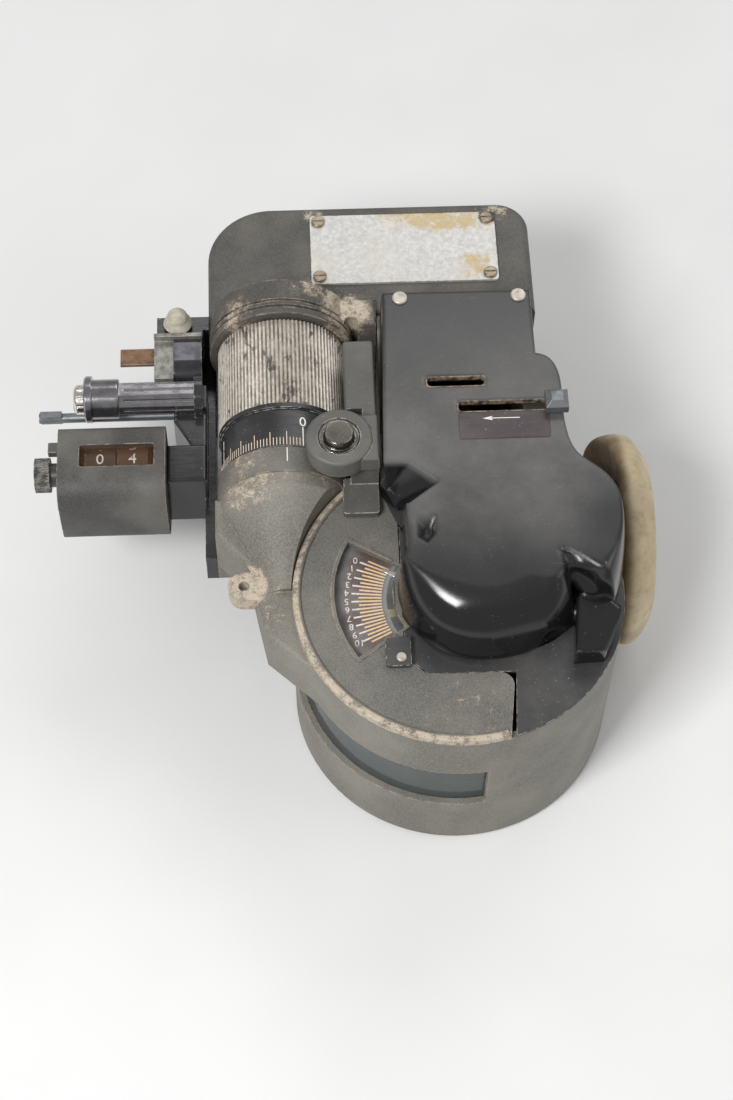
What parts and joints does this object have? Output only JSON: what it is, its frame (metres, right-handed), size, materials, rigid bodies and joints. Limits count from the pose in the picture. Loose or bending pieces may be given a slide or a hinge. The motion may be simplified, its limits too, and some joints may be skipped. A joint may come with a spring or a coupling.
{
  "type": "bubble sextant",
  "caption": "Hand-held bubble sextant: round index head with degree window, worm-driven altitude drum, eyepiece with rubber cup, moulded side cover, averager base.",
  "frame": {"origin": "on the index axis (centre of the round head), in the plane that the instrument rests on", "axes": "+Z along the index axis, out of the head's face; -X the line of sight through the head's window; +X out of the eyepiece; -Y up when the instrument is held in use"},
  "size_m": [0.184, 0.1876, 0.0887],
  "materials": {
    "casting_paint": "black crackle paint, worn",
    "plate_paint": "worn black crackle paint",
    "smooth_black": "smooth black paint",
    "moulded_black": "glossy moulded",
    "worn_aluminium": "worn black paint over bare metal",
    "scale_black": "black with engraved marks",
    "steel": "ground",
    "nickel": "nickel plated",
    "brass": "turned",
    "optical_glass": "polished",
    "tinted_glass": "dark shade glass",
    "cream_rubber": "aged",
    "plate_aluminium": "bare, stained",
    "grey_paint": "grey, matt",
    "counter_paint": "black crackle paint",
    "digit_wheel": "black with white numbers",
    "lamp_black": "moulded",
    "screw_steel": "worn"
  },
  "bodies": {
    "frame": {"main_casting": "casting_paint", "side_plate": "plate_paint", "bearing_plate": "smooth_black", "dial_glass": "optical_glass", "degree_scale": "scale_black", "window_glass": "optical_glass", "bearing_bushes": "brass", "index_ring": "casting_paint", "base_housing": "casting_paint", "base_cover": "casting_paint", "name_plate": "plate_aluminium", "housing_screws": "screw_steel", "side_cover": "moulded_black", "side_cover_screws": "screw_steel", "lamp_arm": "smooth_black", "lamp_arm_nut": "nickel", "scale_lamp_bulb": "optical_glass", "lamp_bracket": "grey_paint", "eyepiece_tube": "smooth_black", "field_lens": "optical_glass", "objective_cell": "smooth_black", "objective_lenses": "optical_glass", "beam_splitter": "optical_glass", "bubble_cell": "brass", "bubble_glass": "optical_glass", "astigmatizer_rail": "steel", "front_bracket": "grey_paint", "counter_housing": "counter_paint", "counter_window": "optical_glass", "lamp_tube": "lamp_black", "lamp_housing": "lamp_black", "flange_plate": "plate_aluminium", "switch_body": "lamp_black", "clock_frame": "brass"},
    "drum": {"worm": "steel", "drum_shaft": "steel", "drum_grip": "worn_aluminium", "altitude_scale": "scale_black"},
    "index": {"prism_carrier": "steel", "index_prism": "optical_glass", "worm_sector": "brass", "index_pointer": "nickel"},
    "astigmatizer": {"astigmatizer_slide": "steel", "astigmatizer_lens": "optical_glass"},
    "focus": {"focus_ring": "smooth_black", "eyecup": "cream_rubber"},
    "eye_cell": {"eyepiece_cell": "smooth_black", "eye_lens": "optical_glass"},
    "shades": {"shade_wheel": "smooth_black", "shade_glasses": "tinted_glass"},
    "bubble_control": {"bubble_knob": "smooth_black"},
    "counter_units": {"counter_knob": "smooth_black", "unit_wheel": "digit_wheel"},
    "counter_tens": {"tens_wheel": "digit_wheel"},
    "rheostat": {"rheostat_knob": "nickel"},
    "trigger": {"trigger_rod": "steel"},
    "button": {"switch_button": "cream_rubber"},
    "mainspring": {"winding_key": "steel", "mainspring_barrel": "brass"},
    "clock_arbor": {"clock_wheel": "brass"}
  },
  "joints": [
    {"name": "drum_turn", "type": "hinge", "parent": "frame", "child": "drum", "pos_m": [-0.049, 0.07, 0.0585], "axis": [0, 1, 0], "range_deg": [-900, 9000]},
    {"name": "index_turn", "type": "hinge", "parent": "frame", "child": "index", "pos_m": [0, 0, 0.035], "axis": [0, 0, 1], "range_deg": [-5.01, 50.01]},
    {"name": "astigmatizer_slide", "type": "slide", "parent": "frame", "child": "astigmatizer", "axis": [-1, 0, 0], "range_m": [0, 0.0243]},
    {"name": "focus_turn", "type": "hinge", "parent": "frame", "child": "focus", "pos_m": [0.05, 0.034, 0.035], "axis": [1, 0, 0], "range_deg": [-100, 100]},
    {"name": "eye_cell_slide", "type": "slide", "parent": "frame", "child": "eye_cell", "axis": [1, 0, 0], "range_m": [-0.0015, 0.0015]},
    {"name": "shade_turn", "type": "hinge", "parent": "frame", "child": "shades", "pos_m": [0, 0.057, 0.0264], "axis": [0, 1, 0], "continuous": true},
    {"name": "bubble_knob_turn", "type": "hinge", "parent": "frame", "child": "bubble_control", "pos_m": [0, 0.078, 0.008], "axis": [0, 0, 1], "range_deg": [-360, 360]},
    {"name": "counter_reset_turn", "type": "hinge", "parent": "frame", "child": "counter_units", "pos_m": [-0.12, 0.05, 0.0557], "axis": [1, 0, 0], "range_deg": [-1800, 1800]},
    {"name": "counter_tens_turn", "type": "hinge", "parent": "frame", "child": "counter_tens", "pos_m": [-0.095, 0.05, 0.0557], "axis": [1, 0, 0], "range_deg": [-180.1, 180.1]},
    {"name": "rheostat_turn", "type": "hinge", "parent": "frame", "child": "rheostat", "pos_m": [-0.111, 0.073, 0.0615], "axis": [1, 0, 0], "range_deg": [0, 270]},
    {"name": "trigger_push", "type": "slide", "parent": "frame", "child": "trigger", "axis": [1, 0, 0], "range_m": [0, 0.004], "stiffness_N_per_m": 150, "springref_m": -0.003},
    {"name": "button_push", "type": "slide", "parent": "frame", "child": "button", "axis": [0, 0, -1], "range_m": [0, 0.0015], "stiffness_N_per_m": 300, "springref_m": -0.001},
    {"name": "mainspring_wind", "type": "hinge", "parent": "frame", "child": "mainspring", "pos_m": [-0.03, 0.119, 0.02], "axis": [0, 0, 1], "range_deg": [0, 720]},
    {"name": "clock_arbor_turn", "type": "hinge", "parent": "frame", "child": "clock_arbor", "pos_m": [-0.0091, 0.119, 0.02], "axis": [0, 0, 1], "range_deg": [-2400.5, 0.5]}
  ],
  "couplings": [
    {"joint": "index_turn", "follows": "drum_turn", "ratio": 0.0055556},
    {"joint": "eye_cell_slide", "follows": "focus_turn", "m_per_rad": 0.00085},
    {"joint": "counter_tens_turn", "follows": "counter_reset_turn", "ratio": 0.1},
    {"joint": "clock_arbor_turn", "follows": "mainspring_wind", "ratio": -3.3333}
  ]
}
